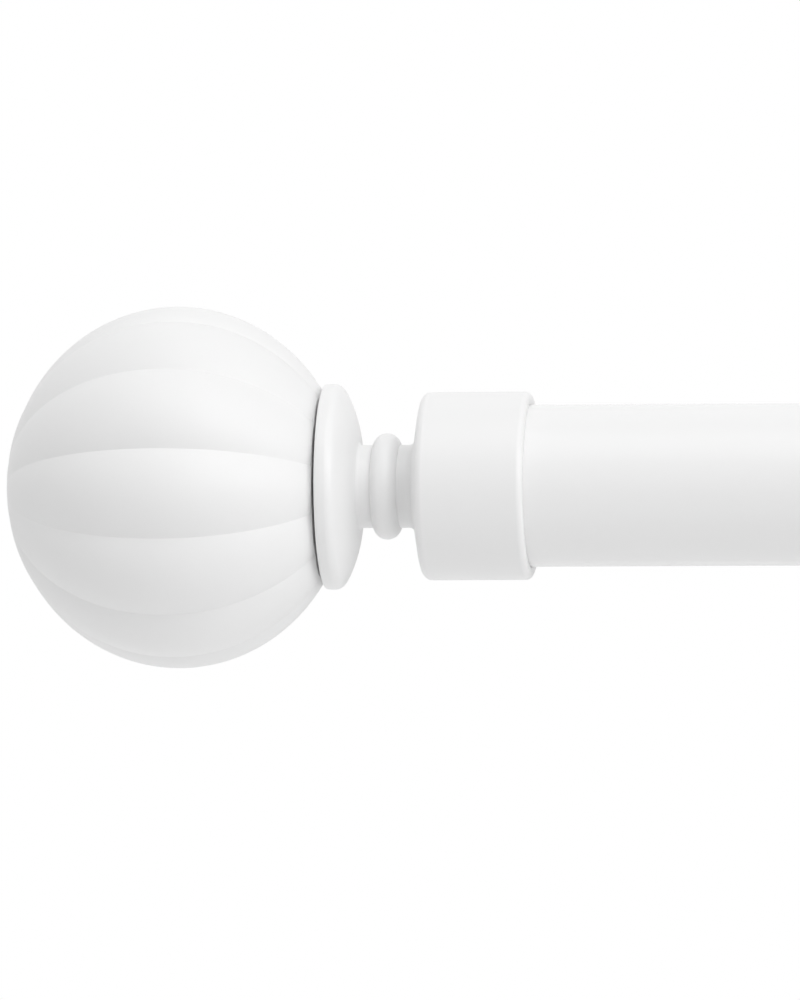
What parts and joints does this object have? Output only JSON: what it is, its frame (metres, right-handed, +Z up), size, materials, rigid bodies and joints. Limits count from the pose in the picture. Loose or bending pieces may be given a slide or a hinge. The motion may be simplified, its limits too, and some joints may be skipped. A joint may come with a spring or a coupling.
{
  "type": "curtain rod with finials",
  "caption": "White telescopic curtain rod with a fluted ball finial, turned base and cup-shaped cap on each end; the thinner tube slides out to set the length.",
  "frame": {"origin": "on the rod's axis, half way between the two finials with the rod pushed in", "axes": "+X along the rod towards the sliding end, +Z up as the rod hangs on its brackets"},
  "size_m": [0.8502, 0.0568, 0.0568],
  "materials": {
    "white_gloss_paint": "white gloss powder coat",
    "white_satin_resin": "cast resin sprayed white, satin",
    "zinc_plated_steel": "bright zinc plate",
    "brass": "turned",
    "nylon": "moulded nylon"
  },
  "bodies": {
    "outer": {"outer_tube": "white_gloss_paint", "mouth_bush": "nylon", "left_finial_ball": "white_satin_resin", "left_ball_insert": "brass", "left_finial_base": "white_gloss_paint", "left_finial_stud": "zinc_plated_steel", "left_end_cap": "white_gloss_paint", "left_tube_plug": "nylon", "left_plug_nut": "zinc_plated_steel"},
    "inner": {"inner_tube": "white_gloss_paint", "glide_collar": "nylon", "adapter_sleeve": "nylon", "right_finial_ball": "white_satin_resin", "right_ball_insert": "brass", "right_finial_base": "white_gloss_paint", "right_finial_stud": "zinc_plated_steel", "right_end_cap": "white_gloss_paint", "right_tube_plug": "nylon", "right_plug_nut": "zinc_plated_steel"}
  },
  "joints": [
    {"name": "rod_extension", "type": "slide", "parent": "outer", "child": "inner", "axis": [1, 0, 0], "range_m": [0, 0.508]}
  ]
}
